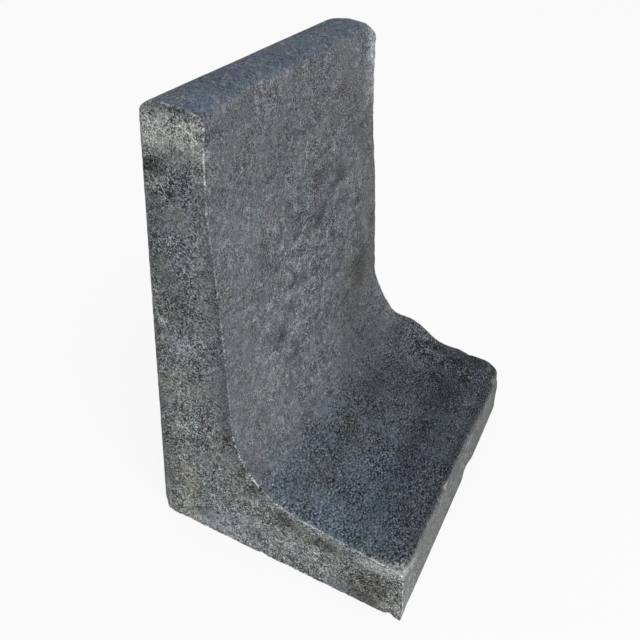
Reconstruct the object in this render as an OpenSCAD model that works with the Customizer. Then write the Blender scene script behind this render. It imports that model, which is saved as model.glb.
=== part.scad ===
// Concrete L-block: one piece of dry-cast concrete with an upright leg and a foot.
// Units: mm. +Z is up, the block stands on Z = 0 with its footprint centred on the origin.
// X runs along the wall that the block belongs to, the back is at +Y and the toe at -Y.

/* [Overall size] */
// Height from the ground to the top of the leg
block_height = 400; // [300:5:600]
// Width along the wall, end face to end face
block_width = 300; // [150:5:600]
// Depth of the foot, back face to toe face
block_depth = 240; // [200:5:400]

/* [Upright leg] */
// Thickness the leg would have at the very top, before its top arrises are rounded
leg_top_thickness = 46; // [38:1:70]
// Thickness the leg would have at ground level, where its sloping inner face runs out
leg_root_thickness = 90; // [60:1:110]

/* [Foot] */
// Height of the foot at the toe, before its arris is rounded
foot_toe_height = 57; // [40:1:80]
// Height the foot would have at the back face, where its sloping top runs out
foot_root_height = 82; // [60:1:120]
// How far the toe face leans in between the ground and the top of the foot
toe_draft = 4; // [0:0.5:10]

/* [Inner corner] */
// Radius between the inner face of the leg and the top of the foot
inner_fillet_radius = 78; // [20:1:90]

/* [Arris radii] */
// Top of the leg, back side
top_back_radius = 17; // [4:0.5:18]
// Top of the leg, inner side
top_front_radius = 15; // [4:0.5:18]
// Under the back face
base_back_radius = 9; // [2:0.5:20]
// Under the toe face
base_toe_radius = 3; // [1:0.5:10]
// Top of the toe
toe_top_radius = 6; // [2:0.5:20]
// Upright arrises at the two ends of the back face
back_end_radius = 6; // [1:0.5:20]
// Upright arrises at the two ends of the toe face
toe_end_radius = 5; // [1:0.5:20]

/* [Hidden] */
$fn = 96;

// Length by which a cut passes the surface it starts from
pass = 2;

// The toe face leans, so its line meets the ground just outside the footprint:
// the rounding under it then reaches exactly block_depth.
toe_lean = toe_draft / foot_toe_height;
toe_base_u = block_depth + base_toe_radius * (sqrt(1 + toe_lean * toe_lean) + toe_lean - 1);
toe_top_u = toe_base_u - toe_draft;

// Slopes of the leg's inner face (thickness lost per mm of height)
// and of the foot's top (height lost per mm towards the toe)
leg_slope = (leg_root_thickness - leg_top_thickness) / block_height;
foot_slope = (foot_root_height - foot_toe_height) / toe_top_u;

// Corners of the cross-section: u runs from the back face (0) to the toe, z is height.
// The inner corner is where the lines of the leg's inner face and the foot's top cross.
inner_u = (leg_root_thickness - leg_slope * foot_root_height) / (1 - leg_slope * foot_slope);
base_back = [0, 0];
base_toe = [toe_base_u, 0];
toe_top = [toe_top_u, foot_toe_height];
inner_corner = [inner_u, foot_root_height - foot_slope * inner_u];
top_front = [leg_top_thickness, block_height];
top_back = [0, block_height];

function unit(v) = v / norm(v);
function half_angle(p, a, b) = acos(unit(a - p) * unit(b - p)) / 2;
function bisector(p, a, b) = unit(unit(a - p) + unit(b - p));

// An arc of radius r in corner p, whose edges run to a and b:
// its centre, and the point where it touches the edge that runs to a
function arc_centre(p, a, b, r) = p + bisector(p, a, b) * r / sin(half_angle(p, a, b));
function arc_touch(p, a, b, r) = p + unit(a - p) * r / tan(half_angle(p, a, b));

// What is cut off an outer corner to round it, passing outside the corner
module corner_waste(p, a, b, r) {
    difference() {
        polygon([
            p - bisector(p, a, b) * pass,
            arc_touch(p, a, b, r),
            arc_touch(p, b, a, r)
        ]);
        translate(arc_centre(p, a, b, r)) circle(r = r);
    }
}

module cross_section() {
    difference() {
        polygon([
            base_back,
            base_toe,
            toe_top,
            arc_touch(inner_corner, toe_top, top_front, inner_fillet_radius),
            arc_touch(inner_corner, top_front, toe_top, inner_fillet_radius),
            top_front,
            top_back
        ]);
        translate(arc_centre(inner_corner, toe_top, top_front, inner_fillet_radius))
            circle(r = inner_fillet_radius);
        corner_waste(base_back, top_back, base_toe, base_back_radius);
        corner_waste(base_toe, base_back, toe_top, base_toe_radius);
        corner_waste(toe_top, base_toe, inner_corner, toe_top_radius);
        corner_waste(top_front, inner_corner, top_back, top_front_radius);
        corner_waste(top_back, top_front, base_back, top_back_radius);
    }
}

// Footprint with its four upright arrises rounded
module footprint() {
    back_left = [-block_width / 2, block_depth / 2];
    back_right = [block_width / 2, block_depth / 2];
    toe_left = [-block_width / 2, -block_depth / 2];
    toe_right = [block_width / 2, -block_depth / 2];
    difference() {
        polygon([toe_left, toe_right, back_right, back_left]);
        corner_waste(back_left, toe_left, back_right, back_end_radius);
        corner_waste(back_right, back_left, toe_right, back_end_radius);
        corner_waste(toe_left, toe_right, back_left, toe_end_radius);
        corner_waste(toe_right, back_right, toe_left, toe_end_radius);
    }
}

module l_block() {
    color([0.34, 0.35, 0.36])
    intersection() {
        translate([0, block_depth / 2, 0])
            rotate([90, 0, -90])
                linear_extrude(height = block_width + 2 * pass, center = true) cross_section();
        translate([0, 0, -pass])
            linear_extrude(height = block_height + 2 * pass) footprint();
    }
}

l_block();
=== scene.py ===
"""Concrete L-block: the finish of a dry-cast block, its worn arrises and its stage."""

import math

import bmesh
import bpy
import numpy as np
from mathutils import Matrix, Vector


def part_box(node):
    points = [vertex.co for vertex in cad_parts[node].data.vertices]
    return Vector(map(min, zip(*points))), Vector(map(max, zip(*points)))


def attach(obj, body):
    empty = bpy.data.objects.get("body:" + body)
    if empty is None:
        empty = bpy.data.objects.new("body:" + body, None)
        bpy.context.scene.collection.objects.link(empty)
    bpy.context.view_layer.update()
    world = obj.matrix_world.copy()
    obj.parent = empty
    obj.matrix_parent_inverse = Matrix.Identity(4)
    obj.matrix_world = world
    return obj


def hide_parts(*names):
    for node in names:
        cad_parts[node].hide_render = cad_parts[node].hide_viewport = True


bl_info = {
    "name": "Concrete L-block",
    "version": (1, 0, 0),
    "blender": (4, 5, 0),
    "location": "View3D > Sidebar > L-block",
    "description": "Weathers the cast L-block, gives it its concrete and sets its stage",
    "category": "Object",
}

MM = 0.001

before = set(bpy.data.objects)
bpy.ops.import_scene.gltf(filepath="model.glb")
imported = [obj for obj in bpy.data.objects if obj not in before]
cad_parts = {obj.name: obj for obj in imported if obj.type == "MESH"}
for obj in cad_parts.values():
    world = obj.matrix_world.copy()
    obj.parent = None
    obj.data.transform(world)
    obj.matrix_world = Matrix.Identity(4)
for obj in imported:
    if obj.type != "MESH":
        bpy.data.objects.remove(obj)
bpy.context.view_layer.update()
NODE = "l_block"
LOW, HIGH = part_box(NODE)


# ======== Node trees, colours and small helpers ========

def add(tree, kind, inputs=None, **settings):
    """Adds one node. Each input is given a value, or the output socket that feeds it."""
    node = tree.nodes.new(kind)
    for name, value in settings.items():
        setattr(node, name, value)
    for key, value in (inputs or {}).items():
        if isinstance(value, bpy.types.NodeSocket):
            tree.links.new(value, node.inputs[key])
        else:
            node.inputs[key].default_value = value
    return node


def linear(colour_hex):
    """Turns an sRGB hex colour into the linear RGBA that shaders take."""
    channels = [int(colour_hex[i:i + 2], 16) / 255 for i in (1, 3, 5)]
    return tuple(
        c / 12.92 if c <= 0.04045 else ((c + 0.055) / 1.055) ** 2.4 for c in channels
    ) + (1.0,)


def on_block(along, depth, height):
    """A place on the block, in mm: along X from its middle, depth from its back face, height."""
    return Vector((along * MM, HIGH.y - depth * MM, LOW.z + height * MM))


def own_properties(group):
    """What a group of properties holds, apart from what every group has."""
    return [item for item in group.bl_rna.properties
            if item.identifier not in ("rna_type", "name")]


# ======== Sizes and colours that a user would change ========

def colour_property(name, description, colour_hex):
    """A colour whose default is given as sRGB hex."""
    return bpy.props.FloatVectorProperty(
        name=name, description=description, default=linear(colour_hex)[:3], min=0.0, max=1.0,
        subtype="COLOR")


class BlockWear(bpy.types.PropertyGroup):
    """How finely the block is meshed, and how far its surface has worn"""

    mesh_step: bpy.props.FloatProperty(
        name="Mesh step", description="Distance between neighbouring points of the surface",
        default=2.25 * MM, min=2.0 * MM, subtype="DISTANCE", unit="LENGTH")
    arris_wear: bpy.props.FloatProperty(
        name="Arris wear", description="How much is rubbed off the arrises",
        default=0.5 * MM, min=0.0, subtype="DISTANCE", unit="LENGTH")
    arris_reach: bpy.props.FloatProperty(
        name="Arris reach", description="How far from an arris the rubbing reaches",
        default=3.5 * MM, min=1.0 * MM, subtype="DISTANCE", unit="LENGTH")
    chip_depth: bpy.props.FloatProperty(
        name="Chip depth", description="Depth of the chips broken out of the arrises",
        default=2.6 * MM, min=0.0, subtype="DISTANCE", unit="LENGTH")
    chip_size: bpy.props.FloatProperty(
        name="Chip size", description="Spacing of the chips along an arris",
        default=22.0 * MM, min=5.0 * MM, subtype="DISTANCE", unit="LENGTH")
    grit_depth: bpy.props.FloatProperty(
        name="Grit depth", description="Depth of the open grain of the end faces",
        default=0.5 * MM, min=0.0, subtype="DISTANCE", unit="LENGTH")
    grit_size: bpy.props.FloatProperty(
        name="Grit size", description="Size of the lumps and hollows of the open grain",
        default=7.0 * MM, min=3.0 * MM, subtype="DISTANCE", unit="LENGTH")
    unevenness: bpy.props.FloatProperty(
        name="Unevenness", description="How far the faces are from flat",
        default=0.4 * MM, min=0.0, subtype="DISTANCE", unit="LENGTH")
    seed: bpy.props.FloatProperty(
        name="Seed", description="Picks where the arrises are rubbed and chipped", default=4.0)


class BlockColours(bpy.types.PropertyGroup):
    """Colour of the concrete on each kind of surface, with painted sky light on the faces that look
    up, and of the lime on it, which also serves for painted highlights
    """

    drawn: colour_property("Drawn faces", "Faces that slid out of the mould", "#7A7A7F")
    # The foot and the top are bluer than the other faces: painted sky light on faces that look up
    foot: colour_property("Foot", "The face of the foot, dark with dust", "#686E79")
    top: colour_property("Top", "The top of the leg", "#5C626F")
    toe: colour_property("Toe", "The front of the foot", "#8A8988")
    end: colour_property("Ends", "The open-grained end faces", "#818283")
    # The lime's colour also paints the highlights on the toe's arris and corners
    lime_and_highlight: colour_property("Lime", "Lime bloom", "#CDCCCB")


class StageLook(bpy.types.PropertyGroup):
    """Camera, floor and light"""

    azimuth: bpy.props.FloatProperty(
        name="Azimuth", description="Where the camera stands round the block; 0 looks along +Y",
        default=math.radians(-66.05), subtype="ANGLE", unit="ROTATION")
    elevation: bpy.props.FloatProperty(
        name="Elevation", description="How far above the horizon the camera stands",
        default=math.radians(33.25), subtype="ANGLE", unit="ROTATION")
    roll: bpy.props.FloatProperty(
        name="Roll", description="How far the camera is turned about its own axis",
        default=math.radians(4.6), subtype="ANGLE", unit="ROTATION")
    distance: bpy.props.FloatProperty(
        name="Distance", description="From the camera to the point it looks at",
        default=0.6686, min=0.1, subtype="DISTANCE", unit="LENGTH")
    lens: bpy.props.FloatProperty(
        name="Lens", description="Focal length on a 36 mm sensor, in mm", default=41.24, min=10.0)
    shift: bpy.props.FloatProperty(
        name="Shift", description="Vertical shift of the picture", default=-0.0625)
    floor_radius: bpy.props.FloatProperty(
        name="Floor radius", description="Radius of the floor",
        default=9.0, min=1.0, subtype="DISTANCE", unit="LENGTH")
    floor_colour: colour_property("Floor", "Colour of the floor", "#F7F7F6")
    key_power: bpy.props.FloatProperty(
        name="Key light", description="Power of the large soft light, in watts", default=20.0)
    sky_strength: bpy.props.FloatProperty(
        name="Sky", description="Strength of the even light from all round", default=0.62)


# ======== Marks left on this block by demoulding, handling and weather ========
#
# Places are in mm: along the wall from the middle, depth from the back face, height. Then come
# the reach each way and the amount.

# Surface pushed out of true: how far along, in depth and in height, in mm
SHIFTS = (
    # at its far end the inner corner is fuller, the foot swells and then dips
    ((150, 100, 112), (60, 34, 40), (0, 3, 3)),
    ((150, 130, 70), (64, 34, 44), (0, 0, 11)),
    ((150, 170, 64), (50, 20, 24), (0, 0, -2)),
    # the far end of the leg is a little hollow, and its top is rubbed down
    ((150, 50, 310), (60, 40, 100), (-1, -2.5, 0)),
    ((156, 12, 400), (40, 90, 40), (0, 0, -5.5)),
    ((150, 46, 400), (16, 30, 16), (-3, 0, -2)),
    # far corner of the toe, rubbed round
    ((150, 240, 57), (24, 20, 30), (-4, -3, -3)),
    # the lowest back corner is rounder at the near end
    ((-150, 0, 0), (120, 18, 18), (0, 2, 2)),
    # near corner of the toe, rubbed at its top and broken out at its bottom
    ((-150, 238, 58), (14, 14, 12), (1.5, -1, -2)),
    ((-150, 240, 4), (12, 12, 36), (-1.5, 2.5, -1.5)),
    ((-150, 230, 0), (6, 6, 6), (0.5, 0, 2.5)),
    # the leg is thicker at its near end, most of all at the top
    ((-150, 68, 250), (70, 50, 190), (0, 2.6, 0)),
    ((-150, 52, 392), (60, 36, 70), (0, 5.5, 0)),
    ((-150, 50, 398), (30, 20, 22), (0, 4, 0)),
    # lower edge of the toe, crisp but wavy
    ((0, 240, 0), (260, 5, 5), (0, 1.2, -1.2)),
    ((40, 240, 0), (24, 12, 12), (0, -2.0, 1)),
    # the far half of the toe leans less
    ((100, 236, 57), (70, 14, 16), (0, 2.4, 0)),
    # pits in the near arris of the foot
    ((-150, 109, 82), (6, 5, 5), (1.5, -1, -3)),
    ((-150, 190, 66), (6, 8, 5), (1, 0, -2)),
)

# Along the wall: where the near end is, and the reach of a mark that lies on an end alone
NEAR_END = -150
END_ONLY = 1.5

# How fast marks fade: at its reach, one has e to the minus this of its strength left
FADE = 0.9


def on_ends(*marks):
    """Marks of the near end, given by depth, height, reach both ways and amount. The far end met
    the same kind of plate, so they lie on it too."""
    return tuple(((NEAR_END, depth, height), (END_ONLY, reach_in_depth, reach_up), amount)
                 for depth, height, reach_in_depth, reach_up, amount in marks)


# Lime bloom: pale patches, and painted highlights on the toe
BLOOM_AND_HIGHLIGHTS = on_ends(
    (24, 381, 36, 11, 1.25),
    (8, 368, 10, 8, 0.6),
    (53, 362, 3.5, 20, 0.4),
    (13, 340, 8, 6, 0.7),
    (12, 223, 4, 4, 1.2),
    (30, 210, 12, 10, 0.7),
    (28, 160, 13, 20, 0.5),
    (24, 118, 10, 6, 0.4),
    (30, 62, 12, 14, 0.4),
    (28, 32, 8, 22, 0.55),
    (70, 20, 18, 16, 0.4),
    (130, 32, 50, 16, 0.45),
    (88, 94, 7, 6, 0.2),
    (104, 68, 8, 6, 0.25),
    (148, 60, 14, 4, 0.35),
    (186, 58, 16, 4, 0.5),
    (212, 51, 14, 5, 1.3),
    (224, 9, 5, 5, 1.2),
) + (
    # corners and arris of the toe: painted highlights where its near arris and corner catch the
    # light, and light chips at its far corner
    ((-146, 233, 58), (8, 9, 6), 1.3),
    ((-149, 220, 59), (5, 16, 5), 0.7),
    ((-140, 238, 57), (12, 3, 5), 0.6),
    ((-43, 236, 57), (6, 3, 4), 1.1),
    ((146, 236, 56), (10, 5, 4), 0.7),
    ((138, 226, 58), (4, 2.5, 5), 0.7),
    ((122, 234, 57), (8, 3, 4), 0.8),
)

# Damp, dirt and painted shade darken where above 0; dried-out surface and painted light are lighter
# below 0
DAMP_AND_SHADE = on_ends(
    (12, 399, 14, 6, 0.9),
    (36, 400, 20, 5, 0.5),
    (26, 362, 24, 5, 0.3),
    (10, 352, 10, 6, 1.4),
    (34, 346, 18, 10, 0.25),
    (9, 285, 8, 50, 0.6),
    (22, 300, 20, 60, 0.15),
    (27, 243, 16, 9, 0.7),
    (26, 228, 16, 5, 0.4),
    (10, 212, 8, 3, 0.8),
    (58, 310, 6, 36, 0.55),
    (63, 250, 6, 44, 0.75),
    (70, 180, 6, 40, 0.85),
    (73, 125, 7, 18, 1.1),
    (40, 160, 30, 20, 0.15),
    (22, 135, 8, 3, 0.5),
    (42, 108, 7, 4, 0.6),
    (85, 92, 5, 8, 0.8),
    (99, 77, 8, 6, 0.8),
    # painted shade along the back arris of each end
    (3, 70, 6, 80, 0.3),
    (40, 30, 6, 20, 0.3),
    (127, 57, 13, 6, 1.4),
    (163, 49, 16, 6, 1.3),
    (194, 55, 10, 5, 0.3),
    (212, 27, 16, 12, 1.0),
    (208, 8, 14, 5, 1.3),
    (164, 57, 14, 5, 0.25),
    (136, 8, 10, 6, 0.2),
    (8, 248, 6, 6, -0.3),
    (160, 56, 10, 6, 0.25),
    (80, 3, 90, 8, -0.4),
    (6, 30, 8, 20, -0.25),
    (6, 245, 6, 14, -0.25),
    (76, 42, 8, 8, -0.3),
    (24, 128, 8, 14, -0.2),
    (52, 132, 12, 14, 0.25),
    (24, 80, 12, 14, -0.2),
    (56, 40, 12, 8, -0.3),
    (96, 58, 12, 12, -0.35),
    (24, 14, 8, 8, -0.35),
    (100, 12, 50, 8, -0.25),
    (230, 32, 6, 14, -0.3),
    (150, 30, 100, 26, -0.35),
    (12, 325, 10, 20, 0.25),
    (24, 264, 10, 8, 0.3),
    (24, 122, 10, 10, -0.3),
    (34, 332, 14, 10, 0.2),
    (40, 5, 34, 5, -0.35),
    (168, 14, 10, 12, -0.3),
    (234, 14, 6, 14, -0.35),
) + (
    ((-146, 128, 71), (8, 14, 4), -0.5),
    # the inner face, from its top down
    ((90, 54, 330), (50, 14, 40), 0.2),
    ((-20, 50, 345), (80, 20, 50), 0.22),
    ((-60, 50, 385), (60, 12, 10), 0.15),
    ((20, 58, 290), (20, 12, 8), 0.65),
    ((63, 59, 278), (10, 12, 7), 1.3),
    ((-80, 60, 268), (8, 12, 10), 0.5),
    ((-22, 61, 267), (6, 12, 6), 0.6),
    ((22, 62, 254), (9, 12, 11), 0.9),
    ((2, 62, 250), (14, 12, 5), 0.4),
    ((-68, 62, 246), (10, 12, 5), 0.4),
    ((64, 62, 250), (14, 12, 5), 0.8),
    ((104, 64, 236), (9, 12, 7), 0.6),
    ((45, 65, 224), (7, 12, 9), 0.5),
    ((-20, 66, 211), (14, 12, 6), 0.9),
    ((-44, 66, 213), (9, 12, 3), 0.6),
    ((8, 67, 206), (10, 12, 4), 0.5),
    ((-60, 70, 174), (8, 12, 10), 1.2),
    ((-38, 74, 141), (7, 12, 9), 0.8),
    ((42, 72, 150), (22, 16, 6), 0.5),
    ((75, 75, 138), (14, 16, 9), 0.5),
    ((-105, 77, 116), (6, 12, 8), 0.5),
    ((8, 80, 106), (7, 12, 6), 0.4),
    ((104, 72, 164), (20, 20, 12), 1.2),
    ((108, 74, 146), (20, 20, 12), 0.8),
    ((80, 80, 112), (24, 20, 12), 0.3),
    ((-120, 60, 200), (50, 40, 130), -0.15),
    ((-90, 80, 130), (60, 40, 50), -0.2),
    ((0, 80, 140), (160, 40, 26), -0.15),
    ((-5, 67, 188), (46, 20, 38), -0.5),
    ((142, 50, 372), (14, 20, 50), -1.3),
    ((142, 84, 96), (12, 14, 22), -0.3),
    ((-23, 62, 246), (8, 12, 6), -0.6),
    ((-46, 74, 150), (8, 12, 8), -0.2),
    ((-140, 50, 358), (12, 14, 18), -0.3),
    ((140, 66, 190), (12, 20, 60), 0.3),
    ((122, 60, 288), (22, 14, 14), 0.25),
    ((92, 56, 308), (10, 14, 10), 0.2),
    ((58, 54, 325), (16, 12, 10), 0.25),
    ((26, 55, 325), (10, 12, 10), -0.25),
    ((34, 62, 243), (14, 12, 8), -0.35),
    ((23, 70, 165), (10, 14, 10), -0.2),
    ((90, 76, 125), (30, 16, 10), 0.25),
    ((0, 82, 105), (12, 14, 8), -0.25),
    ((0, 75, 128), (22, 16, 16), -0.25),
    ((0, 66, 228), (80, 20, 14), -0.2),
    ((125, 82, 96), (30, 16, 14), -0.25),
    # the foot, darker towards its far end and lighter at its near end: partly its own tone, partly
    # painted shade and light, as its near end lies open to the light
    ((-70, 98, 84), (80, 26, 30), -0.2),
    ((-134, 155, 66), (24, 30, 20), -0.5),
    ((-65, 160, 65), (20, 12, 16), -0.4),
    ((-40, 168, 64), (30, 8, 16), -0.2),
    ((32, 128, 70), (26, 14, 16), 0.6),
    ((110, 88, 86), (44, 14, 30), 0.3),
    ((-10, 190, 62), (30, 7, 16), 0.4),
    ((85, 180, 62), (60, 34, 20), 0.6),
    ((10, 205, 60), (60, 22, 20), 0.2),
    ((72, 200, 62), (20, 10, 16), 0.5),
    ((0, 212, 60), (170, 22, 20), 0.3),
    ((-80, 212, 60), (26, 18, 16), 0.25),
    ((0, 232, 58), (190, 5, 5), 0.8),
    ((0, 193, 61), (190, 6, 10), 0.25),
    ((100, 190, 62), (44, 16, 16), 0.25),
    ((-118, 103, 76), (34, 12, 14), -0.35),
    ((0, 109, 74), (8, 8, 12), -0.3),
    ((10, 169, 64), (20, 6, 12), -0.3),
    ((78, 133, 70), (22, 8, 12), 0.25),
    ((92, 90, 84), (40, 14, 16), 0.25),
    ((140, 172, 62), (12, 6, 14), 0.4),
    ((142, 215, 60), (18, 26, 20), 0.8),
    ((142, 230, 58), (10, 6, 10), 0.5),
    ((102, 166, 64), (32, 26, 14), -0.32),
    ((122, 152, 66), (24, 18, 14), -0.4),
    ((115, 190, 62), (14, 22, 12), -0.35),
    ((142, 205, 60), (8, 8, 14), 0.5),
    ((115, 205, 60), (14, 14, 12), -0.25),
    ((10, 217, 59), (24, 16, 14), 0.25),
    ((-128, 206, 60), (20, 8, 12), -0.2),
    ((-140, 229, 58), (10, 6, 10), -0.6),
    ((66, 92, 84), (36, 12, 16), 0.2),
    ((150, 145, 66), (26, 14, 20), -0.4),
    # the toe and the top
    ((-140, 240, 30), (16, 6, 40), -0.5),
    ((90, 242, 30), (80, 8, 40), 0.35),
    ((145, 242, 30), (22, 8, 40), 0.5),
    ((60, 240, 53), (36, 4, 4), 0.4),
    ((60, 241, 12), (50, 6, 10), 0.4),
    ((-140, 240, 44), (14, 6, 12), 0.25),
    ((-90, 10, 400), (60, 12, 10), 0.2),
    ((-140, 26, 400), (16, 20, 10), -0.3),
    ((0, 45, 400), (160, 5, 6), -0.4),
    ((-138, 34, 400), (12, 12, 8), -0.2),
    ((69, 14, 400), (16, 6, 8), 0.25),
    ((0, 14, 400), (150, 6, 8), 0.12),
)

# Where the mould pressed the surface smooth (above 0) and where it tore it open (below 0)
PRESSED = on_ends(
    (33, 300, 16, 40, 0.4),
    (14, 352, 16, 10, -1.2),
    (57, 270, 9, 90, 0.8),
    (52, 335, 10, 40, 0.9),
    (68, 170, 8, 40, 0.6),
    (27, 243, 20, 14, -0.7),
    (35, 120, 30, 30, -0.7),
    (70, 115, 16, 20, -0.6),
    (35, 170, 14, 20, 0.3),
    (130, 45, 90, 24, -0.4),
    (70, 26, 14, 14, 0.5),
    (212, 27, 20, 14, -0.5),
) + (
    # a smooth, slightly darker strip along the back arris of the near end, widest at the bottom:
    # painted shade
    ((-150, 0, 180), (12, 4, 190), 1.0),
    ((-150, 0, 40), (12, 9, 60), 1.0),
    ((-120, 60, 300), (26, 60, 160), 0.3),
    ((-118, 90, 170), (28, 50, 90), 0.3),
    ((35, 60, 260), (60, 40, 90), -1.0),
    ((-25, 68, 190), (50, 40, 50), -0.7),
    ((105, 185, 62), (34, 40, 20), -1.0),
    ((132, 150, 66), (14, 34, 20), -0.6),
    ((35, 155, 65), (50, 40, 20), 0.5),
    ((-90, 140, 68), (60, 34, 20), 0.3),
    ((-130, 170, 66), (30, 70, 20), 0.3),
    ((60, 240, 44), (80, 8, 12), -1.0),
)

# Tint: olive and rust where above 0, slate blue below
WARMTH = on_ends(
    (30, 210, 14, 12, -0.8),
    (28, 45, 14, 35, 0.7),
    (26, 160, 16, 24, 0.3),
    (26, 380, 30, 14, 0.3),
    (64, 190, 12, 44, -0.6),
    (32, 285, 16, 50, -0.45),
    (68, 20, 22, 20, -0.5),
    (128, 57, 18, 8, 0.6),
    (163, 49, 20, 8, 0.6),
    (212, 26, 24, 14, 0.9),
) + (
    # the inner face
    ((100, 72, 150), (40, 24, 40), 0.6),
    ((85, 51, 355), (12, 12, 8), 0.6),
    ((135, 60, 280), (14, 30, 140), 0.4),
    ((70, 59, 340), (60, 20, 40), 0.2),
    ((-105, 70, 190), (24, 24, 60), 0.2),
    ((34, 61, 260), (8, 12, 7), -0.7),
    # the foot and the top
    ((-138, 150, 66), (24, 36, 16), -0.3),
    ((-40, 142, 68), (26, 14, 16), 0.5),
    ((45, 135, 68), (50, 35, 20), 0.6),
    ((90, 185, 62), (34, 22, 16), 0.5),
    ((100, 125, 69), (18, 10, 14), -0.4),
    ((-100, 215, 60), (60, 18, 16), 0.2),
    ((-60, 196, 61), (120, 20, 16), -0.45),
    ((130, 150, 66), (26, 26, 30), 0.5),
    ((115, 215, 60), (20, 10, 14), -0.6),
    ((-60, 20, 400), (120, 50, 10), -0.2),
)

# Where the surface takes less (below 0) of the colours of faces that look up than its slope gives
# it
UPWARD_OFFSETS = (
    ((125, 105, 85), (50, 34, 60), -0.2),
)

MARKS = {"bloom": BLOOM_AND_HIGHLIGHTS, "damp": DAMP_AND_SHADE, "pressed": PRESSED, "warmth": WARMTH, "settled": UPWARD_OFFSETS}


# ======== Finish of each kind of surface ========

# Sizes of the grain, in mm. Real sand goes down to 0.2 mm, which is too fine to show from where
# the block is seen, so the finest is drawn at 1 mm.
SAND = 1.0
BEAD = 1.9
SPECKLE = 1.25
LUMP = 7.0
BLOTCH = 12.0
GATHERING = 22.0
TINT = 18.0
CLOUD = 90.0
STREAK = 3.0
CRACK = 9.0
PORE = 2.0
SPECK = 2.6
RAG = 7.0

# How far the beads are from a regular row, and how strong the clouds are on every face
BEAD_DISORDER = 0.8
CLOUD_STRENGTH = 0.8

# The cracks swing this far to both sides, in mm, in bends of this length
CRACK_SWING = 5.0
CRACK_BEND = 6.0

# What the coldest and the warmest tint multiply a colour by
SLATE = (0.88, 0.99, 1.14, 1.0)
RUST = (1.04, 1.04, 0.88, 1.0)

# What lies above this height, in mm, and looks up is the top, and what lies this close to the
# block's foremost plane and looks forward is the toe
TOP_FROM = 250.0
TOE_WITHIN = 6.0

# How strongly each kind of grain changes the brightness of each finish, and its relief
FINISHES = {
    #        sand speckle bead  lump drift relief  pores specks streaks
    "drawn": ((2.3, 2.2, 0.5), (1.1, 0.12, 0.8), (0.3, 0.2, 0.2)),
    "foot": ((2.7, 0.8, 3.4), (0.0, 0.15, 1.5), (1.5, 0.9, 0.0)),
    "top": ((1.9, 2.2, 0.6), (0.7, 0.25, 0.8), (0.3, 0.2, 0.0)),
    "toe": ((2.0, 1.8, 0.5), (0.7, 0.15, 0.6), (0.3, 0.3, 1.1)),
    "end": ((4.3, 1.6, 1.2), (1.0, 0.15, 1.6), (1.6, 1.4, 0.0)),
}


# ======== The cast block ========

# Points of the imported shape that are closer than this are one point
WELD = 0.01 * MM

# An edge that turns more than this is an arris, or is shaded as a crease
ARRIS_TURN = math.radians(18)
CREASE_TURN = math.radians(45)

# The upper arrises of the foot lie at this height, give or take the spread
FOOT_ARRIS = 65 * MM
FOOT_SPREAD = 30 * MM

# A point of the even mesh within this share of its step from an arris is drawn on to the arris
SNAP = 0.25

# How much faster rubbing varies along an arris than chips do, what sets the two apart, and how
# many waves of unevenness there are in a metre
RUB_FINER = 1.6
CHIPS_APART = 7.3
SAG_WAVES = 9.0


def merged_block():
    """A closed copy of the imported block, whose triangles come apart in the frame."""
    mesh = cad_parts[NODE].data.copy()
    mesh.materials.clear()
    shell = bmesh.new()
    shell.from_mesh(mesh)
    bmesh.ops.remove_doubles(shell, verts=shell.verts, dist=WELD)
    shell.to_mesh(mesh)
    return mesh, shell


def arris_lines(shell):
    """The block's sharp edges alone: the lines along which it is rubbed and chipped."""
    for edge in [e for e in shell.edges if e.calc_face_angle(0.0) < ARRIS_TURN]:
        shell.edges.remove(edge)
    bmesh.ops.delete(shell, geom=[v for v in shell.verts if not v.link_edges], context="VERTS")
    lines = bpy.data.meshes.new("arris_lines")
    shell.to_mesh(lines)
    shell.free()
    return lines


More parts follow.
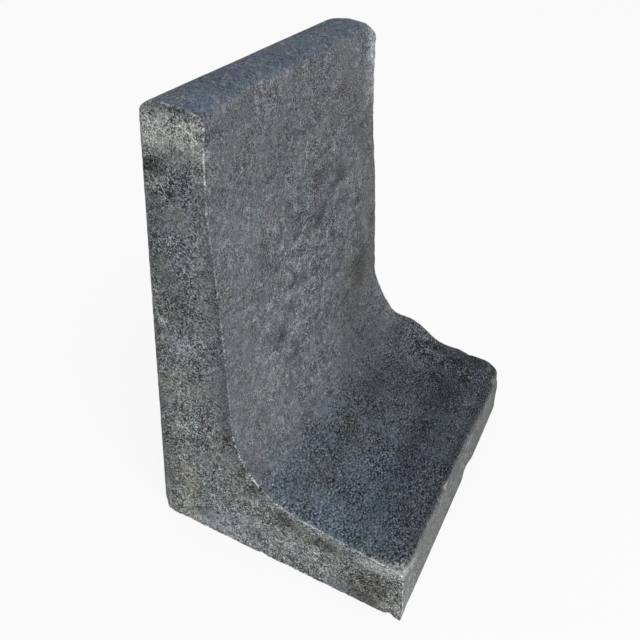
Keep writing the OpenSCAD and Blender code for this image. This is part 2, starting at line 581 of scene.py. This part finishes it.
def wear_tree():
    """Draws an even mesh tight on to the cast block, then rubs, chips and roughens it, and keeps
    all inside the block's box."""
    tree = bpy.data.node_groups.new("Worn block", "GeometryNodeTree")
    sockets = [("Geometry", "Geometry"), ("Cast block", "Object"), ("Arris lines", "Object")]
    sockets += [(size.name, "Float") for size in own_properties(BlockWear)]
    for name, kind in sockets + [("Material", "Material")]:
        tree.interface.new_socket(name, in_out="INPUT", socket_type="NodeSocket" + kind)
    tree.interface.new_socket("Geometry", in_out="OUTPUT", socket_type="NodeSocketGeometry")
    given = tree.nodes.new("NodeGroupInput").outputs
    place = add(tree, "GeometryNodeInputPosition").outputs[0]
    normal = add(tree, "GeometryNodeInputNormal").outputs[0]

    # The even mesh lies a little off the cast faces and arrises, so it is drawn on to them
    cast = add(tree, "GeometryNodeObjectInfo", {"Object": given["Cast block"]})
    on_face = add(tree, "GeometryNodeProximity", {0: cast.outputs["Geometry"]},
                  target_element="FACES")
    lines = add(tree, "GeometryNodeObjectInfo", {"Object": given["Arris lines"]})
    arris = add(tree, "GeometryNodeProximity", {0: lines.outputs["Geometry"]},
                target_element="EDGES")
    to_arris = arris.outputs["Distance"]
    snap = add(tree, "ShaderNodeMath", {0: given["Mesh step"], 1: SNAP}, operation="MULTIPLY")
    close = add(tree, "ShaderNodeMath", {0: to_arris, 1: snap.outputs[0]}, operation="LESS_THAN")
    tight = add(tree, "ShaderNodeMix", {0: close.outputs[0], 4: on_face.outputs["Position"],
                                        5: arris.outputs["Position"]}, data_type="VECTOR")
    drawn = add(tree, "GeometryNodeSetPosition", {"Geometry": given["Geometry"],
                                                  "Position": tight.outputs[1]})

    # What the material reads: which way the surface looked and how far along it lay before it
    # wore, and how near an arris is
    rest_normal = add(tree, "GeometryNodeBlurAttribute", {"Value": normal, "Iterations": 1},
                      data_type="FLOAT_VECTOR").outputs[0]
    looks = add(tree, "ShaderNodeSeparateXYZ", {0: normal})
    endwise = add(tree, "ShaderNodeMath", {0: looks.outputs[0]}, operation="ABSOLUTE")
    lies = add(tree, "ShaderNodeSeparateXYZ", {0: place})
    outward = add(tree, "ShaderNodeMath", {0: lies.outputs[0]}, operation="ABSOLUTE")
    kept = drawn
    for name, kind, value in (("rest_normal", "FLOAT_VECTOR", rest_normal),
                              ("rest_along", "FLOAT", outward.outputs[0]),
                              ("arris_distance", "FLOAT", to_arris)):
        kept = add(tree, "GeometryNodeStoreNamedAttribute",
                   {"Geometry": kept.outputs[0], "Name": name, "Value": value},
                   data_type=kind, domain="POINT")

    # Rubbing: deepest on the arris, uneven along it, and slight just above the floor
    rubbed = add(tree, "ShaderNodeMapRange", {0: to_arris, 2: given["Arris reach"],
                                              3: 1.0, 4: 0.0}, interpolation_type="SMOOTHSTEP")
    rub_scale = add(tree, "ShaderNodeMath", {0: RUB_FINER, 1: given["Chip size"]},
                    operation="DIVIDE")
    rub_noise = add(tree, "ShaderNodeTexNoise",
                    {"W": given["Seed"], "Scale": rub_scale.outputs[0]}, noise_dimensions="4D")
    rub_share = add(tree, "ShaderNodeMapRange", {0: rub_noise.outputs[0], 1: 0.35, 2: 0.7,
                                                 3: 0.1, 4: 1.6})
    off_floor = add(tree, "ShaderNodeMapRange", {0: lies.outputs[2], 1: 2 * MM, 2: 12 * MM,
                                                 3: 0.2, 4: 1.0})

    # Chips: a coarser noise, cut off below a threshold, reaching twice as far as the rubbing. The
    # upper arrises of the foot get knocked most.
    chip_scale = add(tree, "ShaderNodeMath", {0: 1.0, 1: given["Chip size"]}, operation="DIVIDE")
    chip_seed = add(tree, "ShaderNodeMath", {0: given["Seed"], 1: CHIPS_APART}, operation="ADD")
    chip_noise = add(tree, "ShaderNodeTexNoise", {"W": chip_seed.outputs[0],
                                                  "Scale": chip_scale.outputs[0], "Detail": 3.0,
                                                  "Roughness": 0.6}, noise_dimensions="4D")
    chipped = add(tree, "ShaderNodeMapRange", {0: chip_noise.outputs[0], 1: 0.6, 2: 0.72},
                  interpolation_type="SMOOTHSTEP")
    chip_reach = add(tree, "ShaderNodeMath", {0: given["Arris reach"], 1: 2.0},
                     operation="MULTIPLY")
    near = add(tree, "ShaderNodeMapRange", {0: to_arris, 2: chip_reach.outputs[0],
                                            3: 1.0, 4: 0.0}, interpolation_type="SMOOTHSTEP")
    by_foot = add(tree, "ShaderNodeMath", {0: lies.outputs[2], 1: FOOT_ARRIS, 2: FOOT_SPREAD},
                  operation="COMPARE")
    knocked = add(tree, "ShaderNodeMapRange", {0: by_foot.outputs[0], 3: 0.15, 4: 0.5})

    # Open grain: full on the end faces, about a third of it elsewhere
    openness = add(tree, "ShaderNodeMapRange", {0: endwise.outputs[0], 1: 0.4, 2: 0.8,
                                                3: 0.35, 4: 1.0})
    grit_scale = add(tree, "ShaderNodeMath", {0: 1.0, 1: given["Grit size"]}, operation="DIVIDE")
    grit_noise = add(tree, "ShaderNodeTexNoise", {"Scale": grit_scale.outputs[0], "Detail": 2.0})
    grit = add(tree, "ShaderNodeMapRange", {0: grit_noise.outputs[0], 1: 0.4, 2: 0.75})

    # Unevenness of whole faces
    sag = add(tree, "ShaderNodeTexNoise", {"Scale": SAG_WAVES, "Detail": 1.0})

    # Each kind of wear goes as deep as its shares leave of its full depth, and all add up
    depth = 0.0
    for shares, full_depth in (((rubbed, rub_share, off_floor), "Arris wear"),
                               ((chipped, near, knocked), "Chip depth"),
                               ((grit, openness), "Grit depth"),
                               ((sag,), "Unevenness")):
        deep = given[full_depth]
        for share in shares:
            deep = add(tree, "ShaderNodeMath", {0: deep, 1: share.outputs[0]},
                       operation="MULTIPLY").outputs[0]
        depth = add(tree, "ShaderNodeMath", {0: depth, 1: deep}, operation="ADD").outputs[0]

    inward = add(tree, "ShaderNodeMath", {0: depth, 1: -1.0}, operation="MULTIPLY")
    move = add(tree, "ShaderNodeVectorMath", {0: normal, "Scale": inward.outputs[0]},
               operation="SCALE").outputs[0]

    # What is out of true on this one block
    for centre, reach, shift in SHIFTS:
        from_centre = add(tree, "ShaderNodeVectorMath", {0: place, 1: on_block(*centre)},
                          operation="SUBTRACT")
        in_reach = add(tree, "ShaderNodeVectorMath",
                       {0: from_centre.outputs[0], 1: Vector(reach) * MM}, operation="DIVIDE")
        far = add(tree, "ShaderNodeVectorMath", {0: in_reach.outputs[0]}, operation="LENGTH")
        share = add(tree, "ShaderNodeMapRange", {0: far.outputs["Value"], 3: 1.0, 4: 0.0},
                    interpolation_type="SMOOTHSTEP")
        push = add(tree, "ShaderNodeVectorMath",
                   {0: on_block(*shift) - on_block(0, 0, 0), "Scale": share.outputs[0]},
                   operation="SCALE")
        move = add(tree, "ShaderNodeVectorMath", {0: move, 1: push.outputs[0]},
                   operation="ADD").outputs[0]

    worn = add(tree, "GeometryNodeSetPosition", {"Geometry": kept.outputs[0], "Offset": move})
    above = add(tree, "ShaderNodeVectorMath", {0: place, 1: LOW}, operation="MAXIMUM")
    inside = add(tree, "ShaderNodeVectorMath", {0: above.outputs[0], 1: HIGH}, operation="MINIMUM")
    kept_in = add(tree, "GeometryNodeSetPosition", {"Geometry": worn.outputs[0],
                                                    "Position": inside.outputs[0]})
    smooth = add(tree, "GeometryNodeSetShadeSmooth", {"Geometry": kept_in.outputs[0]})
    angle = add(tree, "GeometryNodeInputMeshEdgeAngle")
    crisp = add(tree, "ShaderNodeMath", {0: angle.outputs["Unsigned Angle"], 1: CREASE_TURN},
                operation="GREATER_THAN")
    creased = add(tree, "GeometryNodeSetShadeSmooth",
                  {"Geometry": smooth.outputs[0], "Selection": crisp.outputs[0],
                   "Shade Smooth": False}, domain="EDGE")
    real = add(tree, "GeometryNodeRealizeInstances", {"Geometry": creased.outputs[0]})
    done = add(tree, "GeometryNodeSetMaterial", {"Geometry": real.outputs[0],
                                                 "Material": given["Material"]})
    add(tree, "NodeGroupOutput", {"Geometry": done.outputs[0]})
    return tree


def set_inputs(modifier, values):
    """Sets a Geometry Nodes modifier's inputs, given by name."""
    for item in modifier.node_group.interface.items_tree:
        if item.in_out == "INPUT" and item.name in values:
            modifier[item.identifier] = values[item.name]


def new_object(name, mesh):
    """An object in the scene, at the origin."""
    piece = bpy.data.objects.new(name, mesh)
    bpy.context.collection.objects.link(piece)
    return piece


def worn_block(wear, material):
    """The block remeshed evenly, then worn, as a plain mesh."""
    mesh, shell = merged_block()
    guides = [new_object("cast_shape", mesh), new_object("arris_lines", arris_lines(shell))]
    block = new_object("cast_block", mesh.copy())
    even = block.modifiers.new("Even mesh", "REMESH")
    even.mode = "SHARP"
    even.use_remove_disconnected = False
    even.octree_depth = 8
    even.scale = (HIGH.z - LOW.z) / (2 ** even.octree_depth * wear.mesh_step)
    worn = block.modifiers.new("Wear", "NODES")
    worn.node_group = wear_tree()
    sizes = {size.name: getattr(wear, size.identifier) for size in own_properties(wear)}
    set_inputs(worn, {"Cast block": guides[0], "Arris lines": guides[1], "Material": material,
                      **sizes})
    ready = block.evaluated_get(bpy.context.evaluated_depsgraph_get())
    plain = bpy.data.meshes.new_from_object(ready)
    block.modifiers.clear()
    block.data = plain
    for guide in guides:
        bpy.data.objects.remove(guide)
    return block


def paint_patches(mesh):
    """Stores where bloom and painted highlights, damp and painted shade, smooth surface and tints
    lie, for the material.
    """
    places = np.empty(3 * len(mesh.vertices))
    mesh.vertices.foreach_get("co", places)
    places = places.reshape(-1, 3)
    either_end = places.copy()
    either_end[:, 0] = -np.abs(places[:, 0])
    for name, patches in MARKS.items():
        strength = np.zeros(len(places))
        for centre, reach, amount in patches:
            at = either_end if reach[0] == END_ONLY else places
            away = (at - np.array(on_block(*centre))) / (np.array(reach) * MM)
            strength += amount * np.exp(-FADE * (away ** 2).sum(axis=1))
        layer = mesh.attributes.new(name, "FLOAT", "POINT")
        layer.data.foreach_set("value", strength)


# ======== Materials ========

def finish_values(name, colours):
    """The colour of a finish and the strengths of its grain, as colours that a Mix node blends."""
    return [tuple(three) + (1.0,) for three in (getattr(colours, name), *FINISHES[name])]


def dry_cast_concrete(colours):
    """Earth-moist concrete pressed and vibrated in a steel mould, pigmented anthracite, class
    stone. The end faces, which the mould's plates left, are open grained: sand grains stand
    out light and the pores between them are black. The long faces slid out of the mould, so
    they are smoother, with faint drag marks. It is dull everywhere."""
    material = bpy.data.materials.new("Dry-cast anthracite concrete")
    material.use_nodes = True
    tree = material.node_tree
    tree.nodes.clear()

    coordinates = add(tree, "ShaderNodeTexCoord")
    in_mm = add(tree, "ShaderNodeVectorMath",
                {0: coordinates.outputs["Object"], 1: (1 / MM,) * 3},
                operation="MULTIPLY").outputs[0]
    at = add(tree, "ShaderNodeSeparateXYZ", {0: in_mm}).outputs
    rest = add(tree, "ShaderNodeAttribute", attribute_name="rest_normal")
    looks = add(tree, "ShaderNodeSeparateXYZ", {0: rest.outputs["Vector"]}).outputs
    arris, along, bloom, damp, pressed, warmth, settled = [
        add(tree, "ShaderNodeAttribute", attribute_name=name).outputs["Fac"]
        for name in ("arris_distance", "rest_along", *MARKS)]

    # Which kind of surface this is
    on_end = add(tree, "ShaderNodeMapRange", {0: along, 1: HIGH.x - 0.7 * MM,
                                              2: HIGH.x - 0.2 * MM}).outputs[0]
    level = add(tree, "ShaderNodeMath", {0: looks[2], 1: settled}, operation="ADD").outputs[0]
    upward = add(tree, "ShaderNodeMapRange", {0: level, 1: 0.45, 2: 0.99},
                 interpolation_type="SMOOTHSTEP").outputs[0]
    high = add(tree, "ShaderNodeMath", {0: at[2], 1: TOP_FROM}, operation="GREATER_THAN")
    on_top = add(tree, "ShaderNodeMath", {0: upward, 1: high.outputs[0]},
                 operation="MULTIPLY").outputs[0]
    forward = add(tree, "ShaderNodeMapRange", {0: looks[1], 1: -0.6, 2: -0.85}).outputs[0]
    foremost = add(tree, "ShaderNodeMath", {0: at[1], 1: LOW.y / MM + TOE_WITHIN},
                   operation="LESS_THAN")
    on_toe = add(tree, "ShaderNodeMath", {0: foremost.outputs[0], 1: forward},
                 operation="MULTIPLY").outputs[0]

    # Its colour and the strength of its grain
    blend = finish_values("drawn", colours)
    # Faces that look up take the foot's and the top's bluer colours: painted sky light
    for where, name in ((upward, "foot"), (on_top, "top"), (on_toe, "toe"), (on_end, "end")):
        blend = [add(tree, "ShaderNodeMix", {0: where, 6: below, 7: over},
                     data_type="RGBA").outputs[2]
                 for below, over in zip(blend, finish_values(name, colours))]
    fine, broad, spots = [add(tree, "ShaderNodeSeparateXYZ", {0: v}).outputs for v in blend[1:]]

    # Tints: placed ones, and a slight drift of all three colours over the surface
    tint_noise = add(tree, "ShaderNodeTexNoise", {"Vector": in_mm, "Scale": 1 / TINT,
                                                  "Detail": 0.0}).outputs["Color"]
    tint_level = add(tree, "ShaderNodeVectorMath", {0: tint_noise, 1: (0.5, 0.5, 0.5)},
                     operation="SUBTRACT").outputs[0]
    drift = add(tree, "ShaderNodeVectorMath", {0: tint_level, 1: broad[1], 2: (1.0, 1.0, 1.0)},
                operation="MULTIPLY_ADD").outputs[0]
    warm_share = add(tree, "ShaderNodeMapRange", {0: warmth, 1: -1.0, 2: 1.0}).outputs[0]
    warm_tint = add(tree, "ShaderNodeMix", {0: warm_share, 6: SLATE, 7: RUST},
                    data_type="RGBA").outputs[2]
    tint = add(tree, "ShaderNodeVectorMath", {0: warm_tint, 1: drift},
               operation="MULTIPLY").outputs[0]
    tinted = add(tree, "ShaderNodeVectorMath", {0: blend[0], 1: tint},
                 operation="MULTIPLY").outputs[0]

    # Grain of each size, as brightness up and down, gathered in rougher and smoother areas.
    # The finest is turned askew, so that no row of it shows, and where the surface looks up it
    # is drawn out along the wall.
    along_mould = add(tree, "ShaderNodeMapping", {"Vector": in_mm,
                                                  "Scale": (0.02, 0.02, 1.0)}).outputs[0]
    askew = [add(tree, "ShaderNodeMapping", {"Vector": in_mm, "Rotation": (0.6, 0.4, 0.9),
                                             "Scale": (narrower, 1.0, 1.0)}).outputs[0]
             for narrower in (1.0, 0.75)]
    finest = []
    for kind, inputs, outlet in (
            ("ShaderNodeTexVoronoi", {"Scale": 1 / SAND}, "Color"),
            ("ShaderNodeTexNoise", {"Scale": 1 / SPECKLE}, 0),
            ("ShaderNodeTexVoronoi", {"Scale": 1 / BEAD, "Randomness": BEAD_DISORDER}, "Distance"),
            ("ShaderNodeTexNoise", {"Scale": 1 / PORE}, 0)):
        plain, drawn_out = [add(tree, kind, {"Vector": where, **inputs}).outputs[outlet]
                            for where in askew]
        finest.append(add(tree, "ShaderNodeMix", {0: upward, 2: plain, 3: drawn_out}).outputs[0])
    sand, speckle, bead_centre, pore_noise = finest
    bead = add(tree, "ShaderNodeMath", {0: 1.0, 1: bead_centre}, operation="SUBTRACT").outputs[0]
    layers = [(sand, fine[0]), (speckle, fine[1]), (bead, fine[2])]
    for size, where, strength in ((LUMP, in_mm, broad[0]), (CLOUD, in_mm, CLOUD_STRENGTH),
                                  (STREAK, along_mould, spots[2])):
        noise = add(tree, "ShaderNodeTexNoise", {"Vector": where, "Scale": 1 / size})
        layers.append((noise.outputs[0], strength))
    total = 0.0
    for value, strength in layers:
        swing = add(tree, "ShaderNodeMath", {0: value, 1: 0.5}, operation="SUBTRACT")
        total = add(tree, "ShaderNodeMath", {0: swing.outputs[0], 1: strength, 2: total},
                    operation="MULTIPLY_ADD").outputs[0]
    gathering = add(tree, "ShaderNodeTexNoise", {"Vector": in_mm, "Scale": 1 / GATHERING,
                                                 "Detail": 2.0}).outputs[0]
    gathered = add(tree, "ShaderNodeMapRange", {0: gathering, 1: 0.33, 2: 0.67,
                                                3: 0.55, 4: 1.35}).outputs[0]
    torn = add(tree, "ShaderNodeMapRange", {0: pressed, 1: -1.0, 2: 1.0, 3: 1.3, 4: 0.5}).outputs[0]
    roughness = add(tree, "ShaderNodeMath", {0: gathered, 1: torn}, operation="MULTIPLY").outputs[0]
    grain = add(tree, "ShaderNodeMath", {0: total, 1: roughness}, operation="MULTIPLY").outputs[0]
    # Squared, so that light and dark grains look equally far from the middle
    grain_level = add(tree, "ShaderNodeMath", {0: grain, 1: 0.5, 2: 1.0},
                      operation="MULTIPLY_ADD").outputs[0]
    no_less = add(tree, "ShaderNodeMath", {0: grain_level, 1: 0.2}, operation="MAXIMUM").outputs[0]
    grain_light = add(tree, "ShaderNodeMath", {0: no_less, 1: 2.0}, operation="POWER").outputs[0]

    # Pores are black holes between the grains; specks are single light grains, partly painted
    # glints
    pore_count = add(tree, "ShaderNodeMath", {0: spots[0], 1: roughness},
                     operation="MULTIPLY").outputs[0]
    pore_edge = add(tree, "ShaderNodeMapRange", {0: pore_count, 2: 1.5,
                                                 3: 0.76, 4: 0.61}).outputs[0]
    pore_full = add(tree, "ShaderNodeMath", {0: pore_edge, 1: 0.04}, operation="ADD").outputs[0]
    pores = add(tree, "ShaderNodeMapRange", {0: pore_noise, 1: pore_edge, 2: pore_full}).outputs[0]
    pore_light = add(tree, "ShaderNodeMapRange", {0: pores, 3: 1.0, 4: 0.3}).outputs[0]
    dots = add(tree, "ShaderNodeTexVoronoi", {"Vector": in_mm, "Scale": 1 / SPECK})
    dot_pick = add(tree, "ShaderNodeSeparateColor", {0: dots.outputs["Color"]}).outputs[0]
    dot_least = add(tree, "ShaderNodeMath", {0: spots[1], 1: -0.08, 2: 1.0},
                    operation="MULTIPLY_ADD").outputs[0]
    picked = add(tree, "ShaderNodeMath", {0: dot_pick, 1: dot_least},
                 operation="GREATER_THAN").outputs[0]
    dot_round = add(tree, "ShaderNodeMapRange", {0: dots.outputs["Distance"], 1: 0.25, 2: 0.45,
                                                 3: 1.1, 4: 0.0}).outputs[0]
    speck_and_glint_light = add(tree, "ShaderNodeMath", {0: picked, 1: dot_round, 2: 1.0},
                      operation="MULTIPLY_ADD").outputs[0]

    # Slanting darker blotches, deepest where the mould tore the surface
    slanting = add(tree, "ShaderNodeMapping", {"Vector": in_mm, "Rotation": (0.0, 0.25, 0.0),
                                               "Scale": (0.6, 1.0, 1.1)}).outputs[0]
    blotch_noise = add(tree, "ShaderNodeTexNoise", {"Vector": slanting, "Scale": 1 / BLOTCH,
                                                    "Detail": 2.0}).outputs[0]
    wall_blotch = add(tree, "ShaderNodeMapRange", {0: pressed, 1: -0.7, 2: 0.3,
                                                   3: 0.68, 4: 0.93}).outputs[0]
    blotch_depth = add(tree, "ShaderNodeMix", {0: upward, 2: wall_blotch, 3: 0.95}).outputs[0]
    blotch_light = add(tree, "ShaderNodeMapRange", {0: blotch_noise, 1: 0.52, 2: 0.6,
                                                    3: 1.0, 4: blotch_depth}).outputs[0]

    # Short cracks where the mould tore the foot open
    bend = add(tree, "ShaderNodeTexNoise", {"Vector": in_mm,
                                            "Scale": 1 / CRACK_BEND}).outputs["Color"]
    bent = add(tree, "ShaderNodeVectorMath", {0: bend, 1: (CRACK_SWING,) * 3, 2: in_mm},
               operation="MULTIPLY_ADD").outputs[0]
    crack = add(tree, "ShaderNodeTexVoronoi", {"Vector": bent, "Scale": 1 / CRACK},
                feature="DISTANCE_TO_EDGE").outputs["Distance"]
    split = add(tree, "ShaderNodeMapRange", {0: pressed, 1: -0.3, 2: -0.7,
                                             3: 1.0, 4: 0.05}).outputs[0]
    crack_depth = add(tree, "ShaderNodeMix", {0: upward, 2: 1.0, 3: split}).outputs[0]
    broken = add(tree, "ShaderNodeMapRange", {0: gathering, 1: 0.4, 2: 0.5,
                                              3: 1.0, 4: crack_depth}).outputs[0]
    crack_light = add(tree, "ShaderNodeMapRange", {0: crack, 1: 0.02, 2: 0.12,
                                                   3: broken, 4: 1.0}).outputs[0]

    # Damp and painted shade darken unevenly, and bloom breaks up along the grain
    ragged = add(tree, "ShaderNodeTexNoise", {"Vector": in_mm, "Scale": 1 / RAG, "Detail": 5.0,
                                              "Roughness": 0.7}).outputs[0]
    ragged_off = add(tree, "ShaderNodeMapRange", {0: ragged, 1: 0.3, 2: 0.7,
                                                  3: -0.4, 4: 0.4}).outputs[0]
    patchy = add(tree, "ShaderNodeMapRange", {0: ragged, 1: 0.3, 2: 0.7,
                                              3: -0.4, 4: -1.0}).outputs[0]
    unevenly = add(tree, "ShaderNodeMix", {0: upward, 2: patchy, 3: -0.7}).outputs[0]
    damp_and_shade_depth = add(tree, "ShaderNodeMath", {0: damp, 1: unevenly}, operation="MULTIPLY")
    damp_and_shade_light = add(tree, "ShaderNodeMath", {0: damp_and_shade_depth.outputs[0]},
                     operation="EXPONENT").outputs[0]
    # Smooth surface is a little darker; along the back arris of the near end this is painted shade
    smooth_light = add(tree, "ShaderNodeMapRange", {0: pressed, 3: 1.0, 4: 0.92}).outputs[0]
    # A thin light line along the arrises, whitest in dots: partly rubbed concrete, partly a painted
    # highlight where the arris catches the light
    rubbed = add(tree, "ShaderNodeMapRange", {0: ragged, 1: 0.45, 2: 0.65,
                                              3: 1.7, 4: 3.6}).outputs[0]
    arris_highlight_and_wear = add(tree, "ShaderNodeMapRange", {0: arris, 1: 0.2 * MM, 2: 1.5 * MM,
                                                   3: rubbed, 4: 1.0}).outputs[0]
    shade = grain_light
    for light in (pore_light, speck_and_glint_light, blotch_light, crack_light, damp_and_shade_light, smooth_light,
                  arris_highlight_and_wear):
        shade = add(tree, "ShaderNodeMath", {0: shade, 1: light}, operation="MULTIPLY").outputs[0]
    concrete = add(tree, "ShaderNodeVectorMath", {0: tinted, "Scale": shade}, operation="SCALE")

    # Bloom and the painted highlights lie over the grain and half hide it
    bloom_and_highlights_at = add(tree, "ShaderNodeMath", {0: bloom, 1: ragged_off}, operation="ADD")
    bloom_and_highlight_share = add(tree, "ShaderNodeMapRange", {0: bloom_and_highlights_at.outputs[0], 1: 0.1, 2: 0.9,
                                               4: 0.75}).outputs[0]
    half_grain = add(tree, "ShaderNodeMath", {0: shade, 1: 0.5}, operation="POWER")
    tinted_lime_and_highlight = add(tree, "ShaderNodeVectorMath", {0: tuple(colours.lime_and_highlight), 1: warm_tint},
                      operation="MULTIPLY")
    lime_and_highlight = add(tree, "ShaderNodeVectorMath", {0: tinted_lime_and_highlight.outputs[0],
                                              "Scale": half_grain.outputs[0]}, operation="SCALE")
    colour = add(tree, "ShaderNodeMix", {0: bloom_and_highlight_share, 6: concrete.outputs[0], 7: lime_and_highlight.outputs[0]},
                 data_type="RGBA")

    # Relief of the grain
    relief = add(tree, "ShaderNodeMath", {0: grain, 1: pores}, operation="SUBTRACT")
    deep = add(tree, "ShaderNodeMath", {0: relief.outputs[0], 1: broad[2]}, operation="MULTIPLY")
    bump = add(tree, "ShaderNodeBump", {"Distance": 1.0 * MM, "Height": deep.outputs[0]})
    surface = add(tree, "ShaderNodeBsdfPrincipled",
                  {"Base Color": colour.outputs[2], "Roughness": 0.93, "Specular IOR Level": 0.3,
                   "Normal": bump.outputs[0]})
    add(tree, "ShaderNodeOutputMaterial", {"Surface": surface.outputs[0]})
    return material


# Share of its own light in the floor, as the camera sees it: what is left keeps the shadows
FLOOR_GLOW = 0.86


def seen_rays(tree):
    """1 for what the camera sees, straight, mirrored or through glass, and 0 for other light."""
    path = add(tree, "ShaderNodeLightPath").outputs
    seen = path["Is Camera Ray"]
    for ray in ("Is Glossy Ray", "Is Transmission Ray"):
        seen = add(tree, "ShaderNodeMath", {0: seen, 1: path[ray]}, operation="MAXIMUM").outputs[0]
    return seen


def pale_floor_paint(colour):
    """Matt white studio paint, class painted: an even pale floor that keeps soft shadows. The
    camera sees it mostly lit of its own, so that it reads as white."""
    material = bpy.data.materials.new("Matt white floor paint")
    material.use_nodes = True
    tree = material.node_tree
    tree.nodes.clear()
    share = add(tree, "ShaderNodeMath", {0: seen_rays(tree), 1: FLOOR_GLOW}, operation="MULTIPLY")
    paint = add(tree, "ShaderNodeBsdfDiffuse", {"Color": tuple(colour) + (1.0,)})
    white = add(tree, "ShaderNodeEmission", {"Color": (1, 1, 1, 1), "Strength": 1.0})
    surface = add(tree, "ShaderNodeMixShader", {0: share.outputs[0], 1: paint.outputs[0],
                                                2: white.outputs[0]})
    add(tree, "ShaderNodeOutputMaterial", {"Surface": surface.outputs[0]})
    return material


# ======== Operators ========

# The place on the block that the camera looks at, and the width of its sensor in mm
AIM = (-3.5, 77.2, 201.7)
SENSOR = 36.0

# Where the large soft light hangs and how wide it is, in metres
KEY_PLACE = Vector((-1.1, -1.3, 2.0))
KEY_WIDTH = 1.6


class LBLOCK_OT_cast_block(bpy.types.Operator):
    """Replace the plain block with the weathered one"""

    bl_idname = "lblock.cast_block"
    bl_label = "Cast block"

    def execute(self, context):
        concrete = dry_cast_concrete(context.scene.block_colours)
        block = worn_block(context.scene.block_wear, concrete)
        paint_patches(block.data)
        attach(block, "root")
        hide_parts(NODE)
        return {"FINISHED"}


class LBLOCK_OT_stage(bpy.types.Operator):
    """Add the floor, the lights and the camera"""

    bl_idname = "lblock.stage"
    bl_label = "Stage"

    def execute(self, context):
        look = context.scene.stage_look
        self.floor(look)
        self.lights(context.scene, look)
        self.camera(context.scene, look)
        context.scene.view_settings.view_transform = "Standard"
        return {"FINISHED"}

    def floor(self, look):
        """A round floor under the block."""
        disc = bmesh.new()
        bmesh.ops.create_circle(disc, cap_ends=True, segments=96, radius=look.floor_radius)
        mesh = bpy.data.meshes.new("floor")
        disc.to_mesh(mesh)
        disc.free()
        mesh.materials.append(pale_floor_paint(look.floor_colour))
        new_object("floor", mesh)

    def lights(self, scene, look):
        """One large soft light, and an even light from all round."""
        lamp = bpy.data.lights.new("key", "AREA")
        lamp.energy = look.key_power
        lamp.shape = "DISK"
        lamp.size = KEY_WIDTH
        key = bpy.data.objects.new("key", lamp)
        key.location = KEY_PLACE
        aim = Vector((0, 0, HIGH.z / 2)) - key.location
        key.rotation_euler = aim.to_track_quat("-Z", "Y").to_euler()
        scene.collection.objects.link(key)
        world = bpy.data.worlds.new("studio")
        scene.world = world
        world.use_nodes = True
        tree = world.node_tree
        tree.nodes.clear()
        strength = add(tree, "ShaderNodeMix", {0: seen_rays(tree), 2: look.sky_strength, 3: 1.0})
        sky = add(tree, "ShaderNodeBackground", {"Color": (1, 1, 1, 1),
                                                 "Strength": strength.outputs[0]})
        add(tree, "ShaderNodeOutputWorld", {"Surface": sky.outputs[0]})

    def camera(self, scene, look):
        """The camera, which looks down on the near end and the toe."""
        lens = bpy.data.cameras.new("camera")
        lens.lens = look.lens
        lens.sensor_width = SENSOR
        lens.shift_y = look.shift
        camera = bpy.data.objects.new("camera", lens)
        back = Vector((math.sin(look.azimuth) * math.cos(look.elevation),
                       -math.cos(look.azimuth) * math.cos(look.elevation),
                       math.sin(look.elevation)))
        aim = on_block(*AIM)
        turn = (-back).to_track_quat("-Z", "Y").to_matrix().to_4x4()
        roll = Matrix.Rotation(look.roll, 4, "Z")
        camera.matrix_world = Matrix.Translation(aim + back * look.distance) @ turn @ roll
        scene.collection.objects.link(camera)
        scene.camera = camera


class LBLOCK_PT_panel(bpy.types.Panel):
    """List what makes the block and its stage"""

    bl_idname = "LBLOCK_PT_panel"
    bl_label = "Concrete L-block"
    bl_space_type = "VIEW_3D"
    bl_region_type = "UI"
    bl_category = "L-block"

    def draw(self, context):
        layout = self.layout
        for operator, groups in ((LBLOCK_OT_cast_block, ("block_wear", "block_colours")),
                                 (LBLOCK_OT_stage, ("stage_look",))):
            box = layout.box()
            box.operator(operator.bl_idname)
            for values in [getattr(context.scene, group) for group in groups]:
                for item in own_properties(values):
                    box.prop(values, item.identifier)


GROUPS = {"block_wear": BlockWear, "block_colours": BlockColours, "stage_look": StageLook}
CLASSES = (*GROUPS.values(), LBLOCK_OT_cast_block, LBLOCK_OT_stage, LBLOCK_PT_panel)


def register():
    for cls in CLASSES:
        bpy.utils.register_class(cls)
    for name, group in GROUPS.items():
        setattr(bpy.types.Scene, name, bpy.props.PointerProperty(type=group))


def unregister():
    for name in GROUPS:
        delattr(bpy.types.Scene, name)
    for cls in reversed(CLASSES):
        bpy.utils.unregister_class(cls)


def main():
    register()
    bpy.ops.lblock.cast_block()
    bpy.ops.lblock.stage()


if __name__ == "__main__":
    main()
